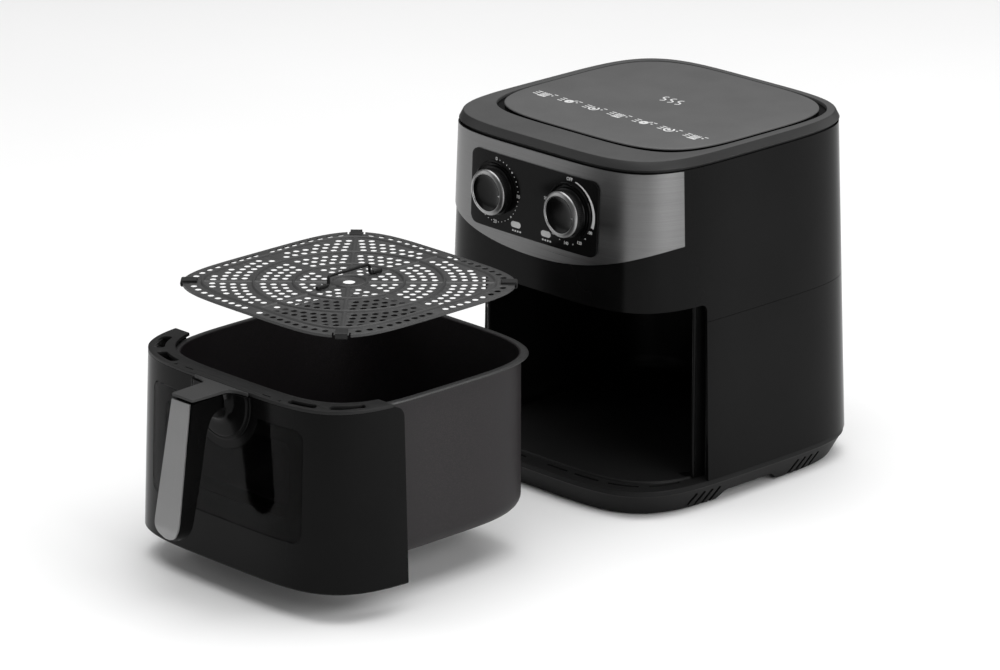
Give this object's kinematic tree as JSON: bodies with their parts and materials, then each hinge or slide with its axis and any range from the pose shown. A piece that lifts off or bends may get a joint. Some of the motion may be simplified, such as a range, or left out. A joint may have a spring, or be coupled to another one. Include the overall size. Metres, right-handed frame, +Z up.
{
  "type": "air fryer",
  "caption": "Upright drawer-type air fryer with a windowed pull-out pan, a lift-out perforated tray and two control knobs.",
  "frame": {"origin": "on the worktop, at the bottom centre of the box around the object with its drawer drawn out", "axes": "+Z up, -Y towards the user: the drawer comes out along -Y, +X to the user's right"},
  "size_m": [0.2806, 0.7065, 0.317],
  "materials": {
    "black_gloss": "high gloss black",
    "black_satin": "satin black",
    "charcoal_satin": "satin charcoal",
    "brushed_band": "horizontal brushing",
    "panel_gloss": "high gloss black",
    "lens_white": "translucent white",
    "insulator": "matte",
    "zinc_steel": "zinc plated",
    "copper": "drawn tube",
    "liner_metal": "dark coated sheet",
    "element_steel": "oxidised",
    "chrome_wire": "bright wire",
    "motor_steel": "plain",
    "screw_steel": "plain",
    "foot_rubber": "matte",
    "seal_rubber": "matte",
    "silicone_black": "matte silicone",
    "smoked_glass": "smoked",
    "trim_steel": "fine brushing",
    "nonstick": "speckled dark non-stick",
    "tray_coating": "satin grey coating",
    "wire_black": "black coated",
    "knob_black": "gloss black",
    "chrome_ring": "polished",
    "fan_metal": "plain",
    "fan_plastic": "matte",
    "plunger_red": "matte"
  },
  "bodies": {
    "housing": {"base": "black_satin", "rubber_feet": "foot_rubber", "lower_housing": "black_gloss", "upper_housing": "black_gloss", "top_cover": "charcoal_satin", "lid_panel": "charcoal_satin", "steel_band": "brushed_band", "control_panel": "panel_gloss", "power_lens": "lens_white", "heat_lens": "lens_white", "indicator_lamps": "insulator", "timer_unit": "zinc_steel", "thermostat": "zinc_steel", "thermostat_sensor": "copper", "cavity_liner": "liner_metal", "pan_rails": "liner_metal", "heat_shield": "zinc_steel", "heating_element": "element_steel", "element_brackets": "zinc_steel", "element_guard": "chrome_wire", "motor": "motor_steel", "motor_bracket": "zinc_steel", "rear_vent": "black_satin", "cord_inlet": "black_satin", "microswitch": "black_satin", "thermal_fuse": "insulator", "terminal_block": "insulator", "base_screws": "screw_steel", "bracket_screws": "screw_steel"},
    "drawer": {"drawer_front": "black_gloss", "window_glass": "smoked_glass", "window_seal": "seal_rubber", "drawer_top_frame": "charcoal_satin", "handle": "black_gloss", "handle_cap": "charcoal_satin", "handle_trim": "trim_steel", "handle_screws": "screw_steel", "pan_bracket": "zinc_steel", "pan": "nonstick", "pan_window": "smoked_glass"},
    "tray": {"crisper_tray": "tray_coating", "tray_clips": "silicone_black", "bail_lugs": "wire_black"},
    "bail": {"tray_bail": "wire_black"},
    "timer_dial": {"timer_knob": "knob_black", "timer_knob_ring": "chrome_ring", "timer_shaft": "screw_steel"},
    "temperature_dial": {"temperature_knob": "knob_black", "temperature_knob_ring": "chrome_ring", "temperature_shaft": "screw_steel"},
    "fan": {"motor_shaft": "screw_steel", "convection_fan": "fan_metal", "cooling_fan": "fan_plastic"},
    "plunger": {"switch_plunger": "plunger_red"}
  },
  "joints": [
    {"name": "drawer_slide", "type": "slide", "parent": "housing", "child": "drawer", "axis": [0, 1, 0], "range_m": [0, 0.351]},
    {"name": "tray_lift", "type": "slide", "parent": "housing", "child": "tray", "axis": [0, 0, 1], "range_m": [-0.1776, 0]},
    {"name": "bail_fold", "type": "hinge", "parent": "tray", "child": "bail", "pos_m": [0, -0.14915, 0.2394], "axis": [0, 1, 0], "range_deg": [-80, 80]},
    {"name": "timer_turn", "type": "hinge", "parent": "housing", "child": "timer_dial", "pos_m": [-0.0445, 0.05635, 0.262], "axis": [0, 1, 0], "range_deg": [-90, 180]},
    {"name": "temperature_turn", "type": "hinge", "parent": "housing", "child": "temperature_dial", "pos_m": [0.0445, 0.05635, 0.262], "axis": [0, 1, 0], "range_deg": [-90, 180]},
    {"name": "fan_spin", "type": "hinge", "parent": "housing", "child": "fan", "pos_m": [0, 0.20185, 0.24], "axis": [0, 0, 1], "continuous": true},
    {"name": "switch_press", "type": "slide", "parent": "housing", "child": "plunger", "axis": [0, 1, 0], "range_m": [0, 0.0025], "stiffness_N_per_m": 300}
  ]
}
